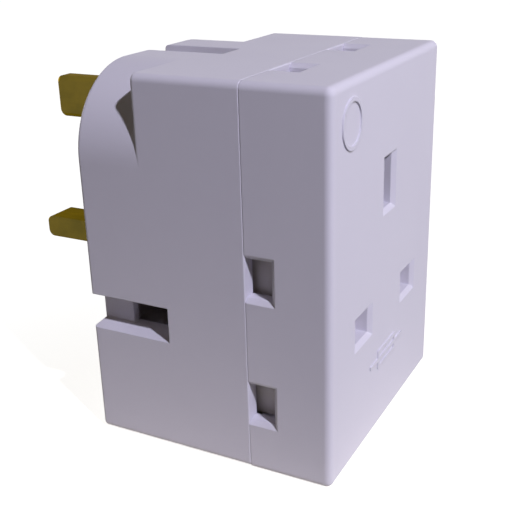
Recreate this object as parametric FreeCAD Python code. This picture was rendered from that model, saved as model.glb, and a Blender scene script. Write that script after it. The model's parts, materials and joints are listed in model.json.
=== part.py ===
import FreeCAD, Part
import math
import os

# A fused plug-in adapter for three-pin mains plugs, with sockets on its front, left and top.
# Millimetres. It is drawn with the front face on y = 0 and the underside on z = 0, pins
# towards +Y, and each piece is moved at the end so that the origin lies on the plug face,
# midway between the line and neutral pins.

# Standard plug and socket sizes
PIN_SPREAD = 22.23          # line to neutral, and earth above the line through them
FLAT_PIN_W = 6.35
FLAT_PIN_T = 4.0
FLAT_PIN_L = 17.7
EARTH_PIN_W = 8.0
EARTH_PIN_T = 4.0
EARTH_PIN_L = 22.7
FUSE_R = 3.175
FUSE_L = 25.4

# Housing sizes
WIDTH = 50.0
HEIGHT = 66.0
SEAM_Y = 14.75              # depth of the front housing
BOX_Y = 34.0                # rear of the block that carries the sockets
DEPTH = 45.6                # plug face
WALL = 2.7
FRONT_WALL = 3.5            # the wall that carries the front apertures
PLUG_FACE_WALL = 3.0
REAR_OUT = 0.05             # the rear housing stands this much proud at its sides and top
REAR_LIFT = 0.2             # and clears the table by this much
EDGE_R = 1.25
REAR_EDGE_R = 0.7
SHOULDER_R = 15.0           # rounded upper corners of the plug part
SEAM_CHAMFER = 0.15

# Places of the sockets and pins
FRONT_SOCKET_Z = 23.4       # line through the front socket's two flat apertures
SIDE_SOCKET_Y = 12.65       # the same line on the left and top faces
LEFT_SOCKET_Z = 23.9
PLUG_PIN_Z = 33.65

# Apertures, as openings in the wall with a chamfer round the outside
APERTURE_T = 4.7
FLAT_APERTURE_W = 6.7
EARTH_APERTURE_W = 8.8
APERTURE_CHAMFER = 0.75
CHANNEL_H = 6.4             # earth slots of the left and top faces run out to the plug face
CHANNEL_FLOOR_H = 5.7       # they narrow towards their floors
CHANNEL_DEPTH = 3.75
CHANNEL_WALL = 1.5
CHANNEL_HOLE_W = 9.2

# Shutters
SHUTTER_DEPTH = 4.0         # from a face to the shutter behind it
SHUTTER_T = 1.4
SHUTTER_GAP = 0.2
SHUTTER_LAP = 0.5           # how far a closed shutter covers past an aperture
SHUTTER_TRAVEL = 5.4
ARM_HALF = 3.4
SLOT_HALF = 1.6
POST_HALF = 1.2
POST_T = 1.0
POST_E = 3.9                # near side of the spring post, from the flat apertures' line
SLOT_END_E = 13.4
JOGGLE_E = 14.2
JOGGLE_T = 1.2
CAM_HALF = 1.8
CAM_RISE = 4.2
CAM_NOSE = 1.0
RAIL_T = 1.2
RAIL_LOW_E = 9.0
RAIL_HIGH_E = 1.9
RIB_A = 5.0                 # ribs between the flat apertures, from the middle
RIB_HALF = 0.5
GUIDE_T = 1.2
GUIDE_HIGH_E = 8.0
PEG_R = 0.6
SPRING_R = 1.0              # mean radius
SPRING_WIRE_R = 0.17
SPRING_TURNS = 8

# Contacts and bars
CONTACT_T = 0.6
BAR_T = 0.8
FLAT_TIP_GAP = 0.9          # pin tip to contact base
JAW_THROAT = 1.75
JAW_MOUTH = 3.0
JAW_ROOT = 2.3
JAW_FLARE_L = 3.0
FLAT_JAW_L = 9.4
EARTH_JAW_L = 11.2
FLAT_JAW_HALF = 3.0
EARTH_JAW_HALF = 3.5
RIVET_R = 0.9
RIVET_HEAD_R = 1.6
RIVET_HEAD_T = 0.5
FIT = 0.05                  # radial clearance of shanks in holes

# Fuse and its carrier
FUSE_Z = 13.0
FUSE_Y = 40.2
FUSE_TUBE_R = 2.85
FUSE_CAP_L = 5.6
FUSE_CAP_T = 0.35
CARRIER_PAST_FUSE = 3.0     # the carrier's face past each end of the fuse
CARRIER_HALF_H = 4.1
CARRIER_FACE_T = 2.0
CARRIER_GAP = 0.3
POCKET_WALL = 1.5
CRADLE_T = 1.5
CRADLE_TO_CAP = 1.1
CRADLE_END_GAP = 0.5
CRADLE_CLEAR = 0.1
CARRIER_NAIL_W = 7.0
CARRIER_NAIL_T = 1.0
CLIP_IN = 2.5               # middle of a clip from the end of the fuse
CLIP_HALF = 2.0
CLIP_T = 0.5
CLIP_CLEAR = 0.08
CLIP_SHORT = 1.1            # the leaves end this far before the rear of the fuse

# Pins inside the housing
SHOULDER_T = 1.0
SHOULDER_OUT = 1.2
FLAT_TIP_R = 1.2            # tips rounded on top and below, and chamfered at their sides
FLAT_TIP_SIDE = 0.3
EARTH_TIP_R = 1.4
EARTH_TIP_SIDE = 0.8
TENON_R = 1.5
TENON_HEAD_R = 2.3
TENON_HEAD_T = 0.6
FUSE_TAB_Y = 34.8           # plane of the strips that the flat pins and fuse clips sit on
LINE_LINK_Y = 29.0
LINE_LINK_DOWN = 3.0        # the line bar's link, below and above the fuse's middle
LINE_LINK_UP = 2.6
NEUTRAL_LINK_UP = 2.55      # the neutral bar's link, above the plug pins
BAR_GAP = 0.5               # from a bar to what passes it

# Screws
SCREW_IN = 5.2              # the two upper screws, from the side faces
HIGH_SCREW_Z = 46.0
LOW_SCREW_Z = 4.9
SCREW_R = 1.45
SCREW_L = 31.0
SCREW_HEAD_R = 2.7
SCREW_HEAD_T = 2.0
SCREW_SEAT_Y = 41.0         # the heads sit in shallow wells in the plug face
SCREW_HOLE_R = 1.6
SCREW_SINK_R = 3.0
BOSS_R = 2.9
SINK_WALL = 1.2
SCREW_TIP_GAP = 0.5
CROSS_W = 0.7
CROSS_L = 3.0
CROSS_DEPTH = 1.0

# Raised marks on the front face
MARK_RAISE = 0.25
MARK_LINE = 0.7
RING_IN = 7.6               # the ring's middle from the left side and the top
RING_DOWN = 6.6
RING_R = 4.0
SYMBOL_DOWN = 9.4           # the fuse symbol, below the front socket's flat apertures
SYMBOL_HALF_L = 8.0
SYMBOL_BOX_HALF_L = 4.4
SYMBOL_BOX_HALF_H = 1.8

# Sizes that follow from those above
HALF = WIDTH / 2
REAR_HALF = HALF + REAR_OUT
REAR_TOP = HEIGHT + REAR_OUT
PIN_HALF = PIN_SPREAD / 2
EARTH_E = PIN_SPREAD
SIDE_EARTH_Y = SIDE_SOCKET_Y + EARTH_E
FLAT_BASE_D = FLAT_PIN_L + FLAT_TIP_GAP
EARTH_BASE_D = EARTH_PIN_L + FLAT_TIP_GAP
FLAT_TAB_D = FLAT_BASE_D + CONTACT_T
EARTH_TAB_D = EARTH_BASE_D + CONTACT_T
SHUTTER_BACK_D = SHUTTER_DEPTH + SHUTTER_T
GUIDE_D = SHUTTER_BACK_D + SHUTTER_GAP
CHANNEL_FLOOR_D = CHANNEL_DEPTH + CHANNEL_WALL - REAR_OUT
ARM_D = CHANNEL_FLOOR_D + SHUTTER_GAP + 0.1
ARM_BACK_D = ARM_D + SHUTTER_T
CAM_TIP_D = ARM_D + 0.5
CAM_TOP_D = CAM_TIP_D + CAM_RISE
CAM_BACK_D = CAM_TOP_D + CAM_NOSE
PLATE_HALF = PIN_HALF + FLAT_APERTURE_W / 2 + SHUTTER_LAP
PLATE_HIGH_E = APERTURE_T / 2 + SHUTTER_LAP
PLATE_LOW_E = PLATE_HIGH_E + SHUTTER_LAP
EARTH_NEAR_E = EARTH_E - EARTH_PIN_W / 2
CAM_TOP_E = EARTH_NEAR_E + SHUTTER_TRAVEL - 0.2
RAIL_IN = PLATE_HALF + 0.3
GUIDE_HALF = RAIL_IN + RAIL_T
CLIP_X = FUSE_L / 2 - CLIP_IN
CRADLE_X = FUSE_L / 2 - FUSE_CAP_L - CRADLE_TO_CAP - CRADLE_T
CARRIER_HALF_W = FUSE_L / 2 + CARRIER_PAST_FUSE
POCKET_HALF_W = CARRIER_HALF_W + CARRIER_GAP
POCKET_HALF_H = CARRIER_HALF_H + CARRIER_GAP
POCKET_FRONT_Y = FUSE_Y - FUSE_R - 0.4
FACE_IN_Y = DEPTH - PLUG_FACE_WALL
PIN_INNER_Y = FACE_IN_Y - SHOULDER_T
CLIP_BASE_Y = FUSE_TAB_Y + BAR_T
LINE_LINK_LOW_Z = FUSE_Z - LINE_LINK_DOWN
LINE_LINK_TOP_Z = FUSE_Z + LINE_LINK_UP
NEUTRAL_LINK_Z = PLUG_PIN_Z + NEUTRAL_LINK_UP
SCREW_PLACES = [(SCREW_IN - HALF, HIGH_SCREW_Z), (HALF - SCREW_IN, HIGH_SCREW_Z), (0.0, LOW_SCREW_Z)]
RING_X = RING_IN - HALF
RING_Z = HEIGHT - RING_DOWN
SYMBOL_Z = FRONT_SOCKET_Z - SYMBOL_DOWN

ORIGIN = FreeCAD.Vector(0, DEPTH, PLUG_PIN_Z)
PAST = 1.0                  # how far a cutter reaches past the face that it cuts


def vec(x, y, z):
    return FreeCAD.Vector(x, y, z)


def block(x0, x1, y0, y1, z0, z1):
    """a box between two corners"""
    return Part.makeBox(x1 - x0, y1 - y0, z1 - z0, vec(x0, y0, z0))


def fused(shapes):
    """one solid from several that touch or overlap"""
    whole = shapes[0]
    if len(shapes) > 1:
        whole = whole.fuse(shapes[1:])
    return whole.removeSplitter()


def cut(shape, tools):
    return shape.cut(tools) if tools else shape


def prism(points, direction):
    """a polygon of 3-D points, swept along a direction"""
    wire = Part.makePolygon(points + [points[0]])
    return Part.Face(wire).extrude(direction)


def rod(x, y0, y1, z, radius):
    """a cylinder along Y"""
    return Part.makeCylinder(radius, y1 - y0, vec(x, y0, z), vec(0, 1, 0))


def in_plane(shape, y):
    """the edges of a shape that lie in the plane at y"""
    found = []
    for edge in shape.Edges:
        limits = edge.BoundBox
        if abs(limits.YMin - y) < 1e-6 and abs(limits.YMax - y) < 1e-6:
            found.append(edge)
    return found


def outline(half, low, top, low_r, top_r, y0, y1):
    """a block along Y whose section has rounded lower and upper corners"""
    corners = [(-half, low, low_r, 180), (half, low, low_r, 270),
               (half, top, top_r, 0), (-half, top, top_r, 90)]
    arcs = []
    for x, z, r, start in corners:
        cx = x + r if x < 0 else x - r
        cz = z + r if z == low else z - r
        points = []
        for turn in (0, 45, 90):
            angle = math.radians(start + turn)
            points.append(vec(cx + r * math.cos(angle), y0, cz + r * math.sin(angle)))
        arcs.append(points)
    edges = []
    for i, points in enumerate(arcs):
        edges.append(Part.Arc(*points).toShape())
        after = arcs[(i + 1) % 4][0]
        edges.append(Part.LineSegment(points[2], after).toShape())
    face = Part.Face(Part.Wire(edges))
    return face.extrude(vec(0, y1 - y0, 0))


# A socket is drawn as on the front face: x along the flat apertures, y into the body,
# z towards the earth aperture, from the midpoint of the flat apertures. The left and top
# sockets are the same pieces turned onto their faces.

def axes(ex, ey, ez, place):
    matrix = FreeCAD.Matrix(ex.x, ey.x, ez.x, place.x,
                            ex.y, ey.y, ez.y, place.y,
                            ex.z, ey.z, ez.z, place.z,
                            0, 0, 0, 1)
    return FreeCAD.Placement(matrix)


SOCKETS = {
    "front": axes(vec(1, 0, 0), vec(0, 1, 0), vec(0, 0, 1), vec(0, 0, FRONT_SOCKET_Z)),
    "left": axes(vec(0, 0, 1), vec(1, 0, 0), vec(0, 1, 0), vec(-HALF, SIDE_SOCKET_Y, LEFT_SOCKET_Z)),
    "top": axes(vec(1, 0, 0), vec(0, 0, -1), vec(0, 1, 0), vec(0, SIDE_SOCKET_Y, HEIGHT)),
}


def at_socket(name, shape):
    """a piece drawn for a socket, put on that socket's face"""
    placed = shape.copy()
    placed.Placement = SOCKETS[name].multiply(placed.Placement)
    return placed


def corners(a, half_a, e, half_e, d):
    return [vec(a - half_a, d, e - half_e), vec(a + half_a, d, e - half_e),
            vec(a + half_a, d, e + half_e), vec(a - half_a, d, e + half_e)]


def polygon_face(points):
    return Part.Face(Part.makePolygon(points + [points[0]]))


def aperture(a, half_a, e, half_e):
    """the cutter of a chamfered opening in the wall"""
    grown = APERTURE_CHAMFER + PAST
    wide = corners(a, half_a + grown, e, half_e + grown, -PAST)
    narrow = corners(a, half_a, e, half_e, APERTURE_CHAMFER)
    faces = [polygon_face(wide), polygon_face(narrow)]
    for i in range(4):
        j = (i + 1) % 4
        faces.append(polygon_face([wide[i], wide[j], narrow[j], narrow[i]]))
    mouth = Part.Solid(Part.Shell(faces))
    hole = block(a - half_a, a + half_a, 0, FRONT_WALL + PAST, e - half_e, e + half_e)
    return fused([mouth, hole])


def flat_apertures(high_e):
    """both flat apertures, open up to high_e on the side towards the earth"""
    low_e = -APERTURE_T / 2
    middle = (low_e + high_e) / 2
    half = (high_e - low_e) / 2
    return [aperture(side * PIN_HALF, FLAT_APERTURE_W / 2, middle, half) for side in (-1, 1)]


def rails():
    """two rails on the wall beside a shutter, with pegs that hold its guide"""
    pieces = []
    for side in (-1, 1):
        inner = side * RAIL_IN
        outer = side * (RAIL_IN + RAIL_T)
        pieces.append(block(min(inner, outer), max(inner, outer), WALL - PAST / 2, GUIDE_D,
                            -RAIL_LOW_E, RAIL_HIGH_E))
        for e in (-RAIL_LOW_E + RAIL_T, RAIL_HIGH_E - RAIL_T):
            middle = (inner + outer) / 2
            pieces.append(rod(middle, WALL, GUIDE_D + GUIDE_T, e, PEG_R))
    return pieces


def bearing_ribs():
    """two ribs on the wall, between the flat apertures, that the shutter slides on"""
    ribs = []
    for side in (-1, 1):
        middle = side * RIB_A
        ribs.append(block(middle - RIB_HALF, middle + RIB_HALF,
                          WALL - PAST / 2, SHUTTER_DEPTH - SHUTTER_GAP, -RAIL_LOW_E, RAIL_HIGH_E))
    return ribs


def spring_post(wall_d):
    return block(-POST_HALF, POST_HALF, wall_d - PAST / 2, GUIDE_D + GUIDE_T / 2, POST_E, POST_E + POST_T)


def shutter():
    """the sliding plate, its slotted arm and the cam that an earth pin pushes aside"""
    plate = block(-PLATE_HALF, PLATE_HALF, SHUTTER_DEPTH, SHUTTER_BACK_D, -PLATE_LOW_E, PLATE_HIGH_E)
    arm = block(-ARM_HALF, ARM_HALF, SHUTTER_DEPTH, SHUTTER_BACK_D, PLATE_HIGH_E, JOGGLE_E + JOGGLE_T)
    joggle = block(-ARM_HALF, ARM_HALF, SHUTTER_DEPTH, ARM_BACK_D, JOGGLE_E, JOGGLE_E + JOGGLE_T)
    tongue = block(-ARM_HALF, ARM_HALF, ARM_D, ARM_BACK_D, JOGGLE_E, EARTH_NEAR_E)
    base_e = JOGGLE_E + JOGGLE_T
    section = [(base_e, ARM_D), (EARTH_NEAR_E, ARM_D), (EARTH_NEAR_E + 0.1, CAM_TIP_D),
               (CAM_TOP_E, CAM_TOP_D), (CAM_TOP_E, CAM_BACK_D), (base_e, CAM_BACK_D)]
    cam = prism([vec(-CAM_HALF, d, e) for e, d in section], vec(2 * CAM_HALF, 0, 0))
    slot = block(-SLOT_HALF, SLOT_HALF, SHUTTER_DEPTH - PAST, SHUTTER_BACK_D + PAST,
                 POST_E - SHUTTER_GAP / 2, SLOT_END_E)
    return cut(fused([plate, arm, joggle, tongue, cam]), [slot])


def shutter_guide():
    """the plate behind a shutter that keeps it on its rails"""
    plate = block(-GUIDE_HALF, GUIDE_HALF, GUIDE_D, GUIDE_D + GUIDE_T, -RAIL_LOW_E, GUIDE_HIGH_E)
    tools = []
    for side in (-1, 1):
        a = side * PIN_HALF
        half = FLAT_APERTURE_W / 2 + SHUTTER_LAP / 2
        tall = APERTURE_T / 2 + SHUTTER_LAP / 2
        tools.append(block(a - half, a + half, GUIDE_D - PAST, GUIDE_D + GUIDE_T + PAST, -tall, tall))
        for e in (-RAIL_LOW_E + RAIL_T, RAIL_HIGH_E - RAIL_T):
            middle = side * (RAIL_IN + RAIL_T / 2)
            tools.append(rod(middle, GUIDE_D - PAST, GUIDE_D + GUIDE_T + PAST, e, PEG_R + FIT))
    gap = SLOT_HALF + SHUTTER_GAP
    tools.append(block(-gap, gap, GUIDE_D - PAST, GUIDE_D + GUIDE_T + PAST, POST_E - SHUTTER_LAP,
                       GUIDE_HIGH_E + PAST))
    return cut(plate, tools)


def shutter_spring():
    """a small coil between the post on the wall and the end of the arm's slot"""
    low = POST_E + POST_T + SPRING_WIRE_R
    high = SLOT_END_E - SPRING_WIRE_R
    middle_d = SHUTTER_DEPTH + SPRING_R + SHUTTER_GAP / 2
    rise = (high - low) / (2 * SPRING_TURNS)
    halves = []
    for i in range(2 * SPRING_TURNS):
        side = 1 if i % 2 == 0 else -1
        centre = vec(0, middle_d, low + (i + 0.5) * rise)
        start = centre + vec(side * SPRING_R, 0, -rise / 2)
        wire = Part.Wire(Part.makeCircle(SPRING_WIRE_R, start, vec(0, 1, 0)))
        halves.append(Part.Face(wire).revolve(centre, vec(side * rise / 2, 0, SPRING_R), 180))
    return fused(halves)


def jaw(base_d, length, half_width, upright):
    """a folded spring contact, a base and two leaves that pinch a pin"""
    mouth_d = base_d - length
    throat_d = mouth_d + JAW_FLARE_L
    back_d = base_d + CONTACT_T
    root = JAW_ROOT + CONTACT_T
    side = [(mouth_d, JAW_MOUTH), (throat_d, JAW_THROAT), (base_d, JAW_ROOT)]
    outer = [(back_d, root), (throat_d, JAW_THROAT + CONTACT_T), (mouth_d, JAW_MOUTH + CONTACT_T)]
    upper = side + [(d, -s) for d, s in reversed(side)]
    lower = [(d, -s) for d, s in reversed(outer)]
    section = upper + lower + outer
    if upright:
        points = [vec(s, d, -half_width) for d, s in section]
        return prism(points, vec(0, 0, 2 * half_width))
    points = [vec(-half_width, d, s) for d, s in section]
    return prism(points, vec(2 * half_width, 0, 0))


def rivet_hole(a, e, d0, d1):
    return rod(a, d0 - PAST, d1 + PAST, e, RIVET_R + FIT)


def flat_contact(side):
    """the contact of a line or neutral pin, whose leaves lie on the pin's wide faces"""
    contact = jaw(FLAT_BASE_D, FLAT_JAW_L, FLAT_JAW_HALF, False)
    contact = cut(contact, [rivet_hole(0, 0, FLAT_BASE_D, FLAT_TAB_D)])
    contact.translate(vec(side * PIN_HALF, 0, 0))
    return contact


def earth_contact():
    contact = jaw(EARTH_BASE_D, EARTH_JAW_L, EARTH_JAW_HALF, True)
    contact = cut(contact, [rivet_hole(0, 0, EARTH_BASE_D, EARTH_TAB_D)])
    contact.translate(vec(0, 0, EARTH_E))
    return contact


def rivet(a, e, base_d):
    """a rivet through a contact's base and the bar behind it"""
    low = base_d
    high = base_d + CONTACT_T + BAR_T
    return fused([rod(a, low - RIVET_HEAD_T, low, e, RIVET_HEAD_R), rod(a, low, high, e, RIVET_R),
                  rod(a, high, high + RIVET_HEAD_T, e, RIVET_HEAD_R)])


# Housings

def screw_bosses(y0, y1, radius):
    return [rod(x, y0, y1, z, radius) for x, z in SCREW_PLACES]


def raised_marks():
    """a plain ring and a fuse symbol"""
    bottom = 0.2
    ring = cut(rod(RING_X, -MARK_RAISE, bottom, RING_Z, RING_R),
               [rod(RING_X, -PAST, PAST, RING_Z, RING_R - MARK_LINE)])
    long_half = SYMBOL_BOX_HALF_L
    tall_half = SYMBOL_BOX_HALF_H
    frame = block(-long_half, long_half, -MARK_RAISE, bottom, SYMBOL_Z - tall_half, SYMBOL_Z + tall_half)
    inner = block(MARK_LINE - long_half, long_half - MARK_LINE, -PAST, PAST,
                  SYMBOL_Z - tall_half + MARK_LINE, SYMBOL_Z + tall_half - MARK_LINE)
    bar = block(-SYMBOL_HALF_L, SYMBOL_HALF_L, -MARK_RAISE, bottom,
                SYMBOL_Z - MARK_LINE / 2, SYMBOL_Z + MARK_LINE / 2)
    return [ring, fused([cut(frame, [inner]), bar])]


def front_housing():
    body = block(-HALF, HALF, 0, SEAM_Y, 0, HEIGHT)
    rounded = []
    for edge in body.Edges:
        if edge.BoundBox.YMin < SEAM_Y - EDGE_R:
            rounded.append(edge)
    body = body.makeFillet(EDGE_R, rounded)
    inside = outline(HALF - WALL, WALL, HEIGHT - WALL, EDGE_R, EDGE_R, FRONT_WALL, SEAM_Y + PAST)
    body = cut(body, [inside])
    added = screw_bosses(FRONT_WALL - PAST / 2, SEAM_Y, BOSS_R)
    within = outline(HALF - WALL / 2, WALL / 2, HEIGHT - WALL / 2, EDGE_R, EDGE_R, WALL / 2, SEAM_Y)
    added = [piece.common(within) for piece in added]
    for name in SOCKETS:
        added += [at_socket(name, piece) for piece in rails() + bearing_ribs()]
    added.append(at_socket("front", spring_post(FRONT_WALL)))
    added += raised_marks()
    body = fused([body] + added)
    tools = [at_socket("front", piece) for piece in flat_apertures(APERTURE_T / 2)]
    tools.append(at_socket("front", aperture(0, APERTURE_T / 2, EARTH_E, EARTH_APERTURE_W / 2)))
    past_seam = SEAM_Y - SIDE_SOCKET_Y + APERTURE_CHAMFER + PAST
    for name in ("left", "top"):
        tools += [at_socket(name, piece) for piece in flat_apertures(past_seam)]
    for x, z in SCREW_PLACES:
        pilot_y = SCREW_SEAT_Y - SCREW_L - SCREW_TIP_GAP
        tools.append(rod(x, pilot_y, SEAM_Y + PAST, z, SCREW_R + FIT))
    return cut(body, tools)


def earth_channel_block():
    """the inner walls round an earth slot, drawn for a socket"""
    low_e = EARTH_E - EARTH_APERTURE_W / 2 - APERTURE_CHAMFER - CHANNEL_WALL
    half = CHANNEL_H / 2 + CHANNEL_WALL
    high_e = FACE_IN_Y + PAST / 2 - SIDE_SOCKET_Y
    return block(-half, half, WALL / 2 - REAR_OUT, CHANNEL_FLOOR_D, low_e, high_e)


def earth_channel_cut():
    low_e = EARTH_E - EARTH_APERTURE_W / 2 - APERTURE_CHAMFER
    high_e = DEPTH + PAST - SIDE_SOCKET_Y
    floor_half = CHANNEL_FLOOR_H / 2
    floor_d = CHANNEL_DEPTH - REAR_OUT
    draft = (CHANNEL_H - CHANNEL_FLOOR_H) / 2 / CHANNEL_DEPTH
    mouth_half = floor_half + draft * (floor_d + PAST)
    section = [vec(-mouth_half, -PAST, low_e), vec(mouth_half, -PAST, low_e),
               vec(floor_half, floor_d, low_e), vec(-floor_half, floor_d, low_e)]
    groove = prism(section, vec(0, 0, high_e - low_e))
    hole = block(-floor_half, floor_half, 0, CHANNEL_FLOOR_D + PAST,
                 EARTH_E - CHANNEL_HOLE_W / 2, EARTH_E + CHANNEL_HOLE_W / 2)
    return [groove, hole]


def pin_slot(x, z, half_x, half_z):
    """the hole in the plug face that a pin passes through"""
    return block(x - half_x - FIT, x + half_x + FIT, FACE_IN_Y - PAST, DEPTH + PAST,
                 z - half_z - FIT, z + half_z + FIT)


def rear_housing():
    socket_block = outline(REAR_HALF, REAR_LIFT, REAR_TOP, EDGE_R, EDGE_R, SEAM_Y, BOX_Y)
    socket_block = socket_block.makeChamfer(SEAM_CHAMFER, in_plane(socket_block, SEAM_Y))
    socket_block = socket_block.makeFillet(REAR_EDGE_R, in_plane(socket_block, BOX_Y))
    plug_start = SEAM_Y + SEAM_CHAMFER
    plug_part = outline(REAR_HALF, REAR_LIFT, REAR_TOP, EDGE_R, SHOULDER_R, plug_start, DEPTH)
    plug_part = plug_part.makeFillet(REAR_EDGE_R, in_plane(plug_part, DEPTH))
    body = fused([socket_block, plug_part])
    half = REAR_HALF - WALL
    low = REAR_LIFT + WALL
    top = REAR_TOP - WALL
    inside = [outline(half, low, top, EDGE_R, EDGE_R, SEAM_Y - PAST, BOX_Y - WALL),
              outline(half, low, top, EDGE_R, SHOULDER_R - WALL, SEAM_Y - PAST, FACE_IN_Y)]
    body = cut(body, [fused(inside)])
    within = outline(REAR_HALF - WALL / 2, REAR_LIFT + WALL / 2, REAR_TOP - WALL / 2,
                     EDGE_R, SHOULDER_R - WALL / 2, SEAM_Y, DEPTH - PLUG_FACE_WALL / 2)
    added = screw_bosses(SEAM_Y, SCREW_SEAT_Y, BOSS_R)
    added += screw_bosses(SCREW_SEAT_Y - SINK_WALL, FACE_IN_Y + PAST, SCREW_SINK_R + SINK_WALL)
    added.append(block(-POCKET_HALF_W - POCKET_WALL, POCKET_HALF_W + POCKET_WALL,
                       POCKET_FRONT_Y, FACE_IN_Y + PAST,
                       FUSE_Z - POCKET_HALF_H - POCKET_WALL, FUSE_Z + POCKET_HALF_H + POCKET_WALL))
    added += bar_rests()
    added = [piece.common(within) for piece in added]
    for name in ("left", "top"):
        added.append(at_socket(name, earth_channel_block()))
        added.append(at_socket(name, spring_post(WALL - REAR_OUT)))
    body = fused([body] + added)
    tools = []
    for name in ("left", "top"):
        tools += [at_socket(name, piece) for piece in earth_channel_cut()]
    tools.append(block(-POCKET_HALF_W, POCKET_HALF_W, POCKET_FRONT_Y - PAST, DEPTH + PAST,
                       FUSE_Z - POCKET_HALF_H, FUSE_Z + POCKET_HALF_H))
    for x, z in SCREW_PLACES:
        tools.append(rod(x, SEAM_Y - PAST, SCREW_SEAT_Y + PAST, z, SCREW_HOLE_R))
        tools.append(rod(x, SCREW_SEAT_Y, DEPTH + PAST, z, SCREW_SINK_R))
    for side in (-1, 1):
        tools.append(pin_slot(side * PIN_HALF, PLUG_PIN_Z, FLAT_PIN_W / 2, FLAT_PIN_T / 2))
    tools.append(pin_slot(0, PLUG_PIN_Z + EARTH_E, EARTH_PIN_T / 2, EARTH_PIN_W / 2))
    return cut(body, tools)


def bar_rests():
    """ribs under the fuse pocket's floor that the line bar's link stands against"""
    rests = []
    floor_z = FUSE_Z - POCKET_HALF_H
    start = LINE_LINK_Y + BAR_T
    for side in (-1, 1):
        middle = side * CRADLE_X
        rests.append(block(middle - CRADLE_T, middle + CRADLE_T, start, POCKET_FRONT_Y + PAST,
                           floor_z - POCKET_WALL, floor_z))
        rests.append(block(middle - CRADLE_T, middle + CRADLE_T, start, start + POCKET_WALL,
                           floor_z - POCKET_WALL, LINE_LINK_LOW_Z + POCKET_WALL))
    return rests


# Plug pins

def pin(x, z, half_x, half_z, length, tip, inner_y, shoulder_x, shoulder_z):
    """a plug pin with a shaped tip, a shoulder inside the plug face and a riveted tenon"""
    tip_r, tip_side = tip
    tip_y = DEPTH + length
    blade = block(x - half_x, x + half_x, inner_y, tip_y, z - half_z, z + half_z)
    across = [edge for edge in in_plane(blade, tip_y) if edge.BoundBox.ZLength < FIT]
    blade = blade.makeFillet(tip_r, across)
    sides = [edge for edge in in_plane(blade, tip_y) if edge.BoundBox.XLength < FIT]
    blade = blade.makeChamfer(tip_side, sides)
    shoulder = block(x - half_x - shoulder_x, x + half_x + shoulder_x, PIN_INNER_Y, FACE_IN_Y,
                     z - half_z - shoulder_z, z + half_z + shoulder_z)
    tenon = rod(x, inner_y - BAR_T, inner_y, z, TENON_R)
    head = rod(x, inner_y - BAR_T - TENON_HEAD_T, inner_y - BAR_T, z, TENON_HEAD_R)
    return fused([blade, shoulder, tenon, head])


def flat_pin(side):
    return pin(side * PIN_HALF, PLUG_PIN_Z, FLAT_PIN_W / 2, FLAT_PIN_T / 2, FLAT_PIN_L,
               (FLAT_TIP_R, FLAT_TIP_SIDE), CLIP_BASE_Y, 0, SHOULDER_OUT)


def earth_pin():
    return pin(0, PLUG_PIN_Z + EARTH_E, EARTH_PIN_T / 2, EARTH_PIN_W / 2, EARTH_PIN_L,
               (EARTH_TIP_R, EARTH_TIP_SIDE), PIN_INNER_Y, SHOULDER_OUT, 0)


# Brass bars

def flat_column(side):
    """the x range of a bar that carries flat contacts"""
    middle = side * PIN_HALF
    return middle - FLAT_JAW_HALF, middle + FLAT_JAW_HALF


def clip_column(side):
    """the x range of a bar that carries a fuse clip and lines up with a flat pin"""
    x0, x1 = flat_column(side)
    return min(x0, side * CLIP_X - CLIP_HALF), max(x1, side * CLIP_X + CLIP_HALF)


def flat_holes(side):
    """rivet holes at the front, left and top contacts of one pole"""
    holes = []
    for name in SOCKETS:
        holes.append(at_socket(name, rivet_hole(side * PIN_HALF, 0, FLAT_BASE_D, FLAT_TAB_D + BAR_T)))
    return holes


def tenon_hole(x, z, y):
    return rod(x, y - PAST, y + BAR_T + PAST, z, TENON_R + FIT)


def pole_tabs(side):
    """the parts of a line or neutral bar behind its three contacts"""
    x0, x1 = flat_column(side)
    face_y = FLAT_TAB_D
    back_y = face_y + BAR_T
    top_z = HEIGHT - FLAT_TAB_D
    left_x = -HALF + FLAT_TAB_D
    z0 = LEFT_SOCKET_Z + side * PIN_HALF - FLAT_JAW_HALF
    z1 = LEFT_SOCKET_Z + side * PIN_HALF + FLAT_JAW_HALF
    y0 = SIDE_SOCKET_Y - FLAT_JAW_HALF
    top_tab = block(x0, x1, y0, back_y, top_z - BAR_T, top_z)
    left_tab = block(left_x, left_x + BAR_T, y0, back_y, z0, z1)
    branch = block(min(x0, left_x), max(x1, left_x + BAR_T), face_y, back_y, z0, z1)
    return [top_tab, left_tab, branch]


def room(shape):
    """the space that a bar's straight part takes, with a gap all round"""
    box = shape.BoundBox
    return block(box.XMin - BAR_GAP, box.XMax + BAR_GAP, box.YMin - BAR_GAP, box.YMax + BAR_GAP,
                 box.ZMin - BAR_GAP, box.ZMax + BAR_GAP)


def neutral_bar():
    x0, x1 = flat_column(-1)
    face_y = FLAT_TAB_D
    low_z = LEFT_SOCKET_Z - PIN_HALF - FLAT_JAW_HALF
    column = block(x0, x1, face_y, face_y + BAR_T, low_z, HEIGHT - FLAT_TAB_D)
    link = block(x0, x1, face_y, CLIP_BASE_Y, NEUTRAL_LINK_Z, NEUTRAL_LINK_Z + BAR_T)
    tab = block(x0, x1, FUSE_TAB_Y, CLIP_BASE_Y, PLUG_PIN_Z - FLAT_JAW_HALF, NEUTRAL_LINK_Z + BAR_T)
    bar = fused([column, link, tab] + pole_tabs(-1))
    passing = [room(piece) for piece in pole_tabs(1)]
    return cut(bar, flat_holes(-1) + passing + [tenon_hole(-PIN_HALF, PLUG_PIN_Z, FUSE_TAB_Y)])


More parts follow.
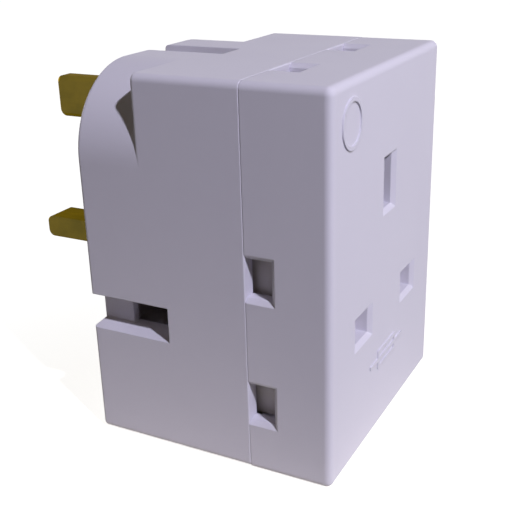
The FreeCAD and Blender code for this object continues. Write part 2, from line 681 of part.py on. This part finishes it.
def line_bar():
    x0, x1 = flat_column(1)
    face_y = FLAT_TAB_D
    link_z = LINE_LINK_TOP_Z - BAR_T
    link_back = LINE_LINK_Y + BAR_T
    column = block(x0, x1, face_y, face_y + BAR_T, link_z, HEIGHT - FLAT_TAB_D)
    inward = block(x0, x1, face_y, link_back, link_z, LINE_LINK_TOP_Z)
    far_x0, far_x1 = clip_column(-1)
    across = block(far_x0, x1, LINE_LINK_Y, link_back, LINE_LINK_LOW_Z, LINE_LINK_TOP_Z)
    outward = block(far_x0, far_x1, LINE_LINK_Y, CLIP_BASE_Y, link_z, LINE_LINK_TOP_Z)
    tab = block(far_x0, far_x1, FUSE_TAB_Y, CLIP_BASE_Y, FUSE_Z - FUSE_R, LINE_LINK_TOP_Z)
    bar = fused([column, inward, across, outward, tab] + pole_tabs(1))
    return cut(bar, flat_holes(1) + [rivet_hole(-CLIP_X, FUSE_Z, FUSE_TAB_Y, CLIP_BASE_Y)])


def line_pin_strip():
    """the strip from the line pin down to the fuse"""
    x0, x1 = clip_column(1)
    strip = block(x0, x1, FUSE_TAB_Y, CLIP_BASE_Y, FUSE_Z - FUSE_R, PLUG_PIN_Z + FLAT_JAW_HALF)
    return cut(strip, [tenon_hole(PIN_HALF, PLUG_PIN_Z, FUSE_TAB_Y),
                       rivet_hole(CLIP_X, FUSE_Z, FUSE_TAB_Y, CLIP_BASE_Y)])


def earth_bar():
    half = EARTH_JAW_HALF
    deck_z = HEIGHT - EARTH_TAB_D
    front_z = FRONT_SOCKET_Z + EARTH_E
    left_x = -HALF + EARTH_TAB_D
    pin_z = PLUG_PIN_Z + EARTH_E
    tab_y = PIN_INNER_Y - BAR_T
    front_tab = block(-half, half, EARTH_TAB_D, EARTH_TAB_D + BAR_T,
                      min(deck_z - BAR_T, front_z - half), max(deck_z, front_z + half))
    deck = block(min(-half, left_x), max(half, left_x + BAR_T), EARTH_TAB_D, PIN_INNER_Y,
                 deck_z - BAR_T, deck_z)
    pin_tab = block(-half, half, tab_y, PIN_INNER_Y,
                    min(deck_z - BAR_T, pin_z - half), max(deck_z, pin_z + half))
    drop = block(left_x, left_x + BAR_T, SIDE_EARTH_Y - half, SIDE_EARTH_Y + half,
                 LEFT_SOCKET_Z - JAW_ROOT - CONTACT_T, deck_z)
    notch_half = RIVET_HEAD_R + SHUTTER_GAP
    notch = block(left_x - PAST, left_x + BAR_T + PAST, SIDE_EARTH_Y - notch_half, SIDE_EARTH_Y + notch_half,
                  deck_z - BAR_T - RIVET_HEAD_T - SHUTTER_GAP, deck_z - BAR_T)
    bar = cut(fused([front_tab, deck, pin_tab, drop]), [notch])
    holes = [at_socket(name, rivet_hole(0, EARTH_E, EARTH_BASE_D, EARTH_TAB_D + BAR_T)) for name in SOCKETS]
    head_room = rod(0, tab_y - TENON_HEAD_T - BAR_GAP, tab_y, pin_z, TENON_HEAD_R + BAR_GAP)
    return cut(bar, holes + [tenon_hole(0, pin_z, tab_y), head_room])


def rivets():
    """every contact and fuse clip is held by the same rivet"""
    group = []
    for name in SOCKETS:
        for side in (-1, 1):
            group.append(at_socket(name, rivet(side * PIN_HALF, 0, FLAT_BASE_D)))
        group.append(at_socket(name, rivet(0, EARTH_E, EARTH_BASE_D)))
    for side in (-1, 1):
        group.append(clip_rivet(side))
    return Part.makeCompound(group)


def clip_rivet(side):
    low = FUSE_TAB_Y
    high = CLIP_BASE_Y + CLIP_T
    x = side * CLIP_X
    return fused([rod(x, low - RIVET_HEAD_T, low, FUSE_Z, RIVET_HEAD_R), rod(x, low, high, FUSE_Z, RIVET_R),
                  rod(x, high, high + CLIP_CLEAR, FUSE_Z, RIVET_HEAD_R)])


# Fuse and carrier

def fuse_clip(side):
    """a fork that the fuse's cap pushes into"""
    inner = FUSE_R + CLIP_CLEAR
    outer = inner + CLIP_T
    mouth_y = FUSE_Y + FUSE_R - CLIP_SHORT
    x0 = side * CLIP_X - CLIP_HALF
    x1 = side * CLIP_X + CLIP_HALF
    base = block(x0, x1, CLIP_BASE_Y, CLIP_BASE_Y + CLIP_T, FUSE_Z - outer, FUSE_Z + outer)
    leaves = [block(x0, x1, CLIP_BASE_Y, mouth_y, FUSE_Z + inner, FUSE_Z + outer),
              block(x0, x1, CLIP_BASE_Y, mouth_y, FUSE_Z - outer, FUSE_Z - inner)]
    hole = rivet_hole(side * CLIP_X, FUSE_Z, CLIP_BASE_Y, CLIP_BASE_Y + CLIP_T)
    return cut(fused([base] + leaves), [hole])


def along_x(x0, x1, radius):
    return Part.makeCylinder(radius, x1 - x0, vec(x0, FUSE_Y, FUSE_Z), vec(1, 0, 0))


def fuse_tube():
    half = FUSE_L / 2 - FUSE_CAP_T
    return along_x(-half, half, FUSE_TUBE_R)


def fuse_caps():
    """a metal cup on each end of the fuse"""
    half = FUSE_L / 2
    caps = []
    for side in (-1, 1):
        open_x = side * (half - FUSE_CAP_L)
        end_x = side * half
        seat_x = side * (half - FUSE_CAP_T)
        cup = along_x(min(open_x, end_x), max(open_x, end_x), FUSE_R)
        bore = along_x(min(open_x, seat_x), max(open_x, seat_x), FUSE_TUBE_R)
        caps.append(cut(cup, [bore]))
    return Part.makeCompound(caps)


def fuse_carrier():
    """the cover in the plug face that pulls out with the fuse"""
    face_y = DEPTH - CARRIER_FACE_T
    tall = CARRIER_HALF_H - SHUTTER_GAP
    front_y = POCKET_FRONT_Y + SHUTTER_LAP
    face = block(-CARRIER_HALF_W, CARRIER_HALF_W, face_y, DEPTH,
                 FUSE_Z - CARRIER_HALF_H, FUSE_Z + CARRIER_HALF_H)
    parts = [face]
    end_x = FUSE_L / 2 + CRADLE_END_GAP
    for low in (CRADLE_X, -CRADLE_X - CRADLE_T, end_x, -end_x - CRADLE_T):
        parts.append(block(low, low + CRADLE_T, front_y, face_y + CARRIER_FACE_T / 2,
                           FUSE_Z - tall, FUSE_Z + tall))
    body = fused(parts)
    seat_r = FUSE_TUBE_R + CRADLE_CLEAR
    throat = FUSE_TUBE_R - CRADLE_CLEAR
    seat = along_x(-CRADLE_X - CRADLE_T - CRADLE_END_GAP, CRADLE_X + CRADLE_T + CRADLE_END_GAP, seat_r)
    way_in = block(-CRADLE_X - CRADLE_T - CRADLE_END_GAP, CRADLE_X + CRADLE_T + CRADLE_END_GAP,
                   front_y - PAST, FUSE_Y, FUSE_Z - throat, FUSE_Z + throat)
    nail = block(-CARRIER_NAIL_W / 2, CARRIER_NAIL_W / 2, DEPTH - CARRIER_NAIL_T, DEPTH + PAST,
                 FUSE_Z + CARRIER_HALF_H - CARRIER_NAIL_T, FUSE_Z + CARRIER_HALF_H + PAST)
    return cut(body, [seat, way_in, nail])


# Screws

def housing_screws():
    screws = []
    for x, z in SCREW_PLACES:
        shank = rod(x, SCREW_SEAT_Y - SCREW_L, SCREW_SEAT_Y, z, SCREW_R)
        head = rod(x, SCREW_SEAT_Y, SCREW_SEAT_Y + SCREW_HEAD_T, z, SCREW_HEAD_R)
        head = head.makeChamfer(SHUTTER_LAP, in_plane(head, SCREW_SEAT_Y + SCREW_HEAD_T))
        cross = []
        top_y = SCREW_SEAT_Y + SCREW_HEAD_T
        for half_x, half_z in ((CROSS_L / 2, CROSS_W / 2), (CROSS_W / 2, CROSS_L / 2)):
            cross.append(block(x - half_x, x + half_x, top_y - CROSS_DEPTH, top_y + PAST,
                               z - half_z, z + half_z))
        screws.append(cut(fused([shank, head]), cross))
    return Part.makeCompound(screws)


def pieces():
    """every piece by name, in the drawing's place"""
    made = {
        "front_housing": front_housing(),
        "rear_housing": rear_housing(),
        "earth_pin": earth_pin(),
        "line_pin": flat_pin(1),
        "neutral_pin": flat_pin(-1),
        "earth_bar": earth_bar(),
        "line_bar": line_bar(),
        "neutral_bar": neutral_bar(),
        "line_pin_strip": line_pin_strip(),
        "contact_rivets": rivets(),
        "line_fuse_clip": fuse_clip(1),
        "load_fuse_clip": fuse_clip(-1),
        "fuse_tube": fuse_tube(),
        "fuse_caps": fuse_caps(),
        "fuse_carrier": fuse_carrier(),
        "housing_screws": housing_screws(),
    }
    for name in SOCKETS:
        made[name + "_line_contact"] = at_socket(name, flat_contact(1))
        made[name + "_neutral_contact"] = at_socket(name, flat_contact(-1))
        made[name + "_earth_contact"] = at_socket(name, earth_contact())
        made[name + "_shutter"] = at_socket(name, shutter())
        made[name + "_shutter_guide"] = at_socket(name, shutter_guide())
        made[name + "_shutter_spring"] = at_socket(name, shutter_spring())
    return made


def main():
    os.makedirs("parts", exist_ok=True)
    for name, shape in pieces().items():
        shape.translate(ORIGIN * -1)
        print(name, "solids", len(shape.Solids), "valid", shape.isValid(), "volume", round(shape.Volume, 1))
        shape.exportStep("parts/" + name + ".step")


main()
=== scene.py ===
import json
import math

import bpy
from mathutils import Matrix, Vector

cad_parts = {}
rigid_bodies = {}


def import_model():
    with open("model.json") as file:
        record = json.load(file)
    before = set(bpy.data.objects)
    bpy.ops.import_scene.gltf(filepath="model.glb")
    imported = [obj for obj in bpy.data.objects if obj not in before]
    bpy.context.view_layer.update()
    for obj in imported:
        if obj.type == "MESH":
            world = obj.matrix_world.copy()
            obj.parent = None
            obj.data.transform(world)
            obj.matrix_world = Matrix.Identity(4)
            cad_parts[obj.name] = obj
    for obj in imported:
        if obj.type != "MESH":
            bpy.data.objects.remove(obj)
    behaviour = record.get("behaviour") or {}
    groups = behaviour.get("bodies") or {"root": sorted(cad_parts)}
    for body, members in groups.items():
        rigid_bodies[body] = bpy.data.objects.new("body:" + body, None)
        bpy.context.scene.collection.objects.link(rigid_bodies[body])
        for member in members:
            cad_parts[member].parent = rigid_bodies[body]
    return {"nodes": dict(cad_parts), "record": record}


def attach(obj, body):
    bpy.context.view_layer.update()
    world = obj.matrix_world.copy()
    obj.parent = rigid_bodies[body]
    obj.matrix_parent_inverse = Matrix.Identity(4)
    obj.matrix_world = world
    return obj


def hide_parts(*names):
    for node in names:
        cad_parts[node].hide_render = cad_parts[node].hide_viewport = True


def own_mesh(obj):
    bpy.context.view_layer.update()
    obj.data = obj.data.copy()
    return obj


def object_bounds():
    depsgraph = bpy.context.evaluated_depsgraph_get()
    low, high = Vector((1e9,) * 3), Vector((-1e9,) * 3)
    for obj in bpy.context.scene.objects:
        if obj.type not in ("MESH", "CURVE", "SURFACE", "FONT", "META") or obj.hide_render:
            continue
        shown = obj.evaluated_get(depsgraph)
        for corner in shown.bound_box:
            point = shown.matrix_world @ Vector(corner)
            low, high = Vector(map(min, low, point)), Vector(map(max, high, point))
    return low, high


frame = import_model()
CAD_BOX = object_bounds()

MM = 0.001
SCENE = bpy.context.scene
NODES = frame["nodes"]
RECORD = frame["record"]
FLOOR_Z = CAD_BOX[0][2]
MIDDLE = (Vector(CAD_BOX[0]) + Vector(CAD_BOX[1])) / 2
UP = Vector((0.0, 0.0, 1.0))

WHITE = (1.0, 1.0, 1.0)
EVEN = (1.0, 1.0, 1.0)
WHOLE = (0.0, 1.0)


# Node helpers

def new_material(name):
    material = bpy.data.materials.new(name)
    material.use_nodes = True
    tree = material.node_tree
    shader = tree.nodes["Principled BSDF"]
    return material, tree, shader


def noise(tree, scale, detail, roughness=0.5, stretch=EVEN):
    """3-D noise over the object's own place, with `scale` in cycles per metre"""
    place = tree.nodes.new("ShaderNodeTexCoord")
    mapping = tree.nodes.new("ShaderNodeMapping")
    mapping.inputs["Scale"].default_value = stretch
    tree.links.new(place.outputs["Object"], mapping.inputs["Vector"])
    texture = tree.nodes.new("ShaderNodeTexNoise")
    texture.inputs["Scale"].default_value = scale
    texture.inputs["Detail"].default_value = detail
    texture.inputs["Roughness"].default_value = roughness
    tree.links.new(mapping.outputs["Vector"], texture.inputs["Vector"])
    return texture.outputs["Fac"]


def remap(tree, value, span, to_span):
    """`value` moved from the range `span` to the range `to_span`, and held within it"""
    node = tree.nodes.new("ShaderNodeMapRange")
    node.inputs["From Min"].default_value = span[0]
    node.inputs["From Max"].default_value = span[1]
    node.inputs["To Min"].default_value = to_span[0]
    node.inputs["To Max"].default_value = to_span[1]
    tree.links.new(value, node.inputs["Value"])
    return node.outputs["Result"]


def mixed(tree, factor, first, second):
    """the colour `first` where `factor` is 0, and `second` where it is 1"""
    node = tree.nodes.new("ShaderNodeMix")
    node.data_type = "RGBA"
    for name, colour in (("A", first), ("B", second)):
        socket = [each for each in node.inputs if each.name == name and each.type == "RGBA"][0]
        socket.default_value = colour + (1.0,)
    tree.links.new(factor, node.inputs["Factor"])
    return [each for each in node.outputs if each.type == "RGBA"][0]


def calculated(tree, operation, first, second):
    node = tree.nodes.new("ShaderNodeMath")
    node.operation = operation
    tree.links.new(first, node.inputs[0])
    tree.links.new(second, node.inputs[1])
    return node.outputs[0]


def bump(tree, height, depth, strength, base=None):
    """a normal roughened by `height`, over the normal `base` where one is given"""
    node = tree.nodes.new("ShaderNodeBump")
    node.inputs["Distance"].default_value = depth
    node.inputs["Strength"].default_value = strength
    tree.links.new(height, node.inputs["Height"])
    if base is not None:
        tree.links.new(base, node.inputs["Normal"])
    return node.outputs["Normal"]


BEVEL_SAMPLES = 6


def soft_edges(tree, radius):
    """a normal that rounds the sharp edges by `radius`"""
    node = tree.nodes.new("ShaderNodeBevel")
    node.samples = BEVEL_SAMPLES
    node.inputs["Radius"].default_value = radius
    return node.outputs["Normal"]


# Materials, with the fineness of their marks in cycles per metre

MOTTLING = 60.0
GLOSS_PATCHES = 140.0
MOULD_GRAIN = 3600.0
TARNISH_PATCHES = 170.0
DRAWN_LINES = 1400.0
STEEL_LINES = 2400.0
CERAMIC_SPECKS = 900.0

GRAIN_DEPTH = 0.01 * MM
MARK_DEPTH = 0.02 * MM

TARNISH_STEP = (0.38, 0.66)
LINE_STEP = (0.3, 0.7)
SPECK_STEP = (0.45, 0.75)

PLASTIC_IOR = 1.5
BRASS_EDGE = 0.15 * MM
STEEL_SHADE = 0.8
STEEL_GLOSS_SPREAD = 0.15


def plastic(name, colour, shade, roughness, gloss_spread, specular, edge_radius, grain):
    """moulded plastic: faint mottling, uneven gloss and the fine grain of the mould"""
    material, tree, shader = new_material(name)
    mottling = noise(tree, MOTTLING, detail=2.0)
    tree.links.new(mixed(tree, mottling, colour, shade), shader.inputs["Base Color"])
    patches = noise(tree, GLOSS_PATCHES, detail=2.0)
    gloss = remap(tree, patches, WHOLE, (roughness - gloss_spread, roughness + gloss_spread))
    tree.links.new(gloss, shader.inputs["Roughness"])
    shader.inputs["IOR"].default_value = PLASTIC_IOR
    shader.inputs["Specular IOR Level"].default_value = specular
    edges = soft_edges(tree, edge_radius)
    grains = noise(tree, MOULD_GRAIN, detail=2.0)
    tree.links.new(bump(tree, grains, GRAIN_DEPTH, grain, base=edges), shader.inputs["Normal"])
    return material


def brass(name, colour, tarnish, tint, gloss, stretch):
    """brass with a tarnished film and fine drawing marks along its length"""
    material, tree, shader = new_material(name)
    patches = noise(tree, TARNISH_PATCHES, detail=5.0, roughness=0.6)
    film = remap(tree, patches, TARNISH_STEP, WHOLE)
    tree.links.new(mixed(tree, film, colour, tarnish), shader.inputs["Base Color"])
    shader.inputs["Metallic"].default_value = 1.0
    shader.inputs["Specular Tint"].default_value = tint + (1.0,)
    lines = noise(tree, DRAWN_LINES, detail=3.0, roughness=0.6, stretch=stretch)
    tree.links.new(remap(tree, lines, LINE_STEP, gloss), shader.inputs["Roughness"])
    edges = soft_edges(tree, BRASS_EDGE)
    marks = bump(tree, lines, MARK_DEPTH, strength=0.35, base=edges)
    tree.links.new(marks, shader.inputs["Normal"])
    return material


def steel(name, colour, roughness, stretch=EVEN):
    """plated or plain steel with fine marks, which are long where `stretch` is small"""
    material, tree, shader = new_material(name)
    lines = noise(tree, STEEL_LINES, detail=3.0, roughness=0.6, stretch=stretch)
    darker = tuple(STEEL_SHADE * part for part in colour)
    tree.links.new(mixed(tree, lines, colour, darker), shader.inputs["Base Color"])
    shader.inputs["Metallic"].default_value = 1.0
    gloss = remap(tree, lines, LINE_STEP, (roughness, roughness + STEEL_GLOSS_SPREAD))
    tree.links.new(gloss, shader.inputs["Roughness"])
    tree.links.new(bump(tree, lines, GRAIN_DEPTH, strength=0.3), shader.inputs["Normal"])
    return material


def ceramic(name, colour, speck_colour, gloss):
    """pale ceramic with small specks"""
    material, tree, shader = new_material(name)
    specks = remap(tree, noise(tree, CERAMIC_SPECKS, detail=4.0), SPECK_STEP, WHOLE)
    tree.links.new(mixed(tree, specks, colour, speck_colour), shader.inputs["Base Color"])
    tree.links.new(remap(tree, specks, WHOLE, gloss), shader.inputs["Roughness"])
    tree.links.new(bump(tree, specks, MARK_DEPTH, strength=0.3), shader.inputs["Normal"])
    return material


ALONG_PINS = (1.0, 0.06, 1.0)
ALONG_FUSE = (0.1, 1.0, 1.0)

BY_SLOT = {
    "housing_plastic": plastic(
        "housing_white", colour=(0.76, 0.74, 0.82), shade=(0.735, 0.715, 0.80),
        roughness=0.42, gloss_spread=0.05, specular=0.03, edge_radius=0.22 * MM, grain=0.25),
    "shutter_plastic": plastic(
        "shutter_grey", colour=(0.73, 0.69, 0.68), shade=(0.68, 0.645, 0.635),
        roughness=0.45, gloss_spread=0.06, specular=0.1, edge_radius=0.12 * MM, grain=0.5),
    "guide_plastic": plastic(
        "guide_grey", colour=(0.55, 0.54, 0.54), shade=(0.50, 0.49, 0.50),
        roughness=0.45, gloss_spread=0.06, specular=0.3, edge_radius=0.12 * MM, grain=0.5),
    # The pin colours, tarnish patches included, are darkened far below real brass: a painted dark
    # reflection that stands in for dark surroundings seen in the pins, over random tarnish
    # patches.
    "pin_brass": brass(
        "pin_brass", colour=(0.15, 0.11, 0.02), tarnish=(0.11, 0.085, 0.018),
        tint=(0.6, 0.5, 0.3), gloss=(0.38, 0.50), stretch=ALONG_PINS),
    "contact_brass": brass(
        "contact_brass", colour=(0.70, 0.54, 0.22), tarnish=(0.52, 0.39, 0.15),
        tint=WHITE, gloss=(0.28, 0.42), stretch=EVEN),
    "fuse_ceramic": ceramic(
        "fuse_ceramic", colour=(0.84, 0.82, 0.76), speck_colour=(0.70, 0.67, 0.60),
        gloss=(0.3, 0.45)),
    "fuse_cap_metal": steel(
        "fuse_cap_plating", colour=(0.72, 0.71, 0.69), roughness=0.18, stretch=ALONG_FUSE),
    "screw_steel": steel("screw_steel", colour=(0.58, 0.58, 0.59), roughness=0.30),
    "spring_steel": steel("spring_steel", colour=(0.56, 0.56, 0.57), roughness=0.28),
}

CARRIER = plastic(
    "carrier_white", colour=(0.75, 0.73, 0.85), shade=(0.72, 0.70, 0.83),
    roughness=0.45, gloss_spread=0.05, specular=0.03, edge_radius=0.18 * MM, grain=0.3)


def dress():
    """each node takes the material of its slot, apart from the fuse carrier, which has its own"""
    slots = {part["node"]: part["material_slot"] for part in RECORD["subparts"]}
    for name, node in NODES.items():
        material = CARRIER if name == "fuse_carrier" else BY_SLOT[slots[name]]
        for place in node.material_slots:
            place.material = material


def shutter_springs():
    """a copy of each shutter's spring, with a mesh of its own, fixed to the joint's parent body in
    place of the hidden spring
    """
    for joint in RECORD["behaviour"]["joints"]:
        for spring in joint.get("deforming_nodes", []):
            node = spring["node"]
            coil = bpy.data.objects.new(node + "_coil", NODES[node].data.copy())
            SCENE.collection.objects.link(coil)
            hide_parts(node)
            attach(coil, joint["parent"])
            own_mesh(coil)


# The floor and what lies around it

FLOOR_NEAR = (0.82, 0.79, 0.66)
FLOOR_FAR = (0.15, 0.15, 0.15)
FLOOR_FADE = (0.030, 0.070)
FLOOR_CENTRE = (-0.020, -0.012, FLOOR_Z)
FLOOR_GLOW = (0.88, 1.0)
FLOOR_ROUGHNESS = 0.9
FLOOR_HALF = 1.5
SURROUND_LIGHT = (0.064, 0.052, 0.030)


def camera_share(tree):
    """1 for camera, glossy and transmission rays, and 0 for the rays that light the object"""
    path = tree.nodes.new("ShaderNodeLightPath")
    share = path.outputs["Is Camera Ray"]
    for ray in ("Is Glossy Ray", "Is Transmission Ray"):
        share = calculated(tree, "MAXIMUM", share, path.outputs[ray])
    return share


def floor():
    """white to the eye, and pale near the object so that it throws light back onto it"""
    turns = ((-1, -1), (1, -1), (1, 1), (-1, 1))
    corners = [(x * FLOOR_HALF, y * FLOOR_HALF, FLOOR_Z) for x, y in turns]
    mesh = bpy.data.meshes.new("floor")
    mesh.from_pydata(corners, [], [(0, 1, 2, 3)])
    plate = bpy.data.objects.new("floor", mesh)
    SCENE.collection.objects.link(plate)
    material, tree, shader = new_material("floor_white")
    place = tree.nodes.new("ShaderNodeTexCoord")
    away = tree.nodes.new("ShaderNodeVectorMath")
    away.operation = "DISTANCE"
    away.inputs[1].default_value = FLOOR_CENTRE
    tree.links.new(place.outputs["Object"], away.inputs[0])
    fade = remap(tree, away.outputs["Value"], FLOOR_FADE, WHOLE)
    tree.links.new(mixed(tree, fade, FLOOR_NEAR, FLOOR_FAR), shader.inputs["Base Color"])
    shader.inputs["Roughness"].default_value = FLOOR_ROUGHNESS
    shader.inputs["Specular IOR Level"].default_value = 0.0
    shader.inputs["Emission Color"].default_value = WHITE + (1.0,)
    glow = calculated(tree, "MULTIPLY", camera_share(tree), remap(tree, fade, WHOLE, FLOOR_GLOW))
    tree.links.new(glow, shader.inputs["Emission Strength"])
    mesh.materials.append(material)


def world():
    """white to the eye, and a faint warm light on the object"""
    surround = bpy.data.worlds.new("surround")
    surround.use_nodes = True
    tree = surround.node_tree
    background = tree.nodes["Background"]
    colour = mixed(tree, camera_share(tree), SURROUND_LIGHT, WHITE)
    tree.links.new(colour, background.inputs["Color"])
    background.inputs["Strength"].default_value = 1.0
    SCENE.world = surround


# Lamps

LAMP_DISTANCE = 0.9


def lamp(name, towards, size, power, colour):
    """a round area lamp in the direction `towards` from the object, aimed at its middle"""
    light = bpy.data.lights.new(name, "AREA")
    light.shape = "DISK"
    light.size = size
    light.energy = power
    light.color = colour
    stand = bpy.data.objects.new(name, light)
    direction = Vector(towards).normalized()
    stand.location = MIDDLE + direction * LAMP_DISTANCE
    stand.rotation_euler = direction.to_track_quat("Z", "Y").to_euler()
    SCENE.collection.objects.link(stand)


def lamps():
    """a small key lamp for crisp shadows, a wide fill at the front and a low lamp at the rear"""
    lamp("key", towards=(-0.353, -0.647, 0.675), size=0.04, power=5.35, colour=(0.98, 0.965, 1.17))
    lamp("fill", towards=(0.36, -0.93, 0.06), size=0.4, power=2.30, colour=(1.0, 0.98, 0.96))
    lamp("rear", towards=(0.35, 0.94, 0.02), size=0.3, power=2.2, colour=(1.0, 0.98, 1.05))


# Camera, placed by the housing's edges and the spacing of the socket apertures

CAMERA_PLACE = Vector((-0.13578, -0.09284, 0.05529))
CAMERA_AHEAD = Vector((0.82936, 0.43062, -0.35599))
CAMERA_ROLL = math.radians(-1.367)
SENSOR_WIDTH = 36.0
LENS = 62.12
SHIFT_X = -0.0277
SHIFT_Y = -0.0185
NEAREST = 0.01
FARTHEST = 10.0


def camera():
    """the view of the photo, with its slight roll"""
    lens = bpy.data.cameras.new("camera")
    lens.sensor_width = SENSOR_WIDTH
    lens.lens = LENS
    lens.shift_x = SHIFT_X
    lens.shift_y = SHIFT_Y
    lens.clip_start = NEAREST
    lens.clip_end = FARTHEST
    eye = bpy.data.objects.new("camera", lens)
    ahead = CAMERA_AHEAD.normalized()
    level = ahead.cross(UP).normalized()
    over = level.cross(ahead)
    right = level * math.cos(CAMERA_ROLL) + over * math.sin(CAMERA_ROLL)
    upward = over * math.cos(CAMERA_ROLL) - level * math.sin(CAMERA_ROLL)
    turn = Matrix((right, upward, -ahead)).transposed().to_4x4()
    eye.matrix_world = Matrix.Translation(CAMERA_PLACE) @ turn
    SCENE.collection.objects.link(eye)
    SCENE.camera = eye


dress()
shutter_springs()
floor()
world()
lamps()
camera()

SCENE.view_settings.view_transform = "Standard"
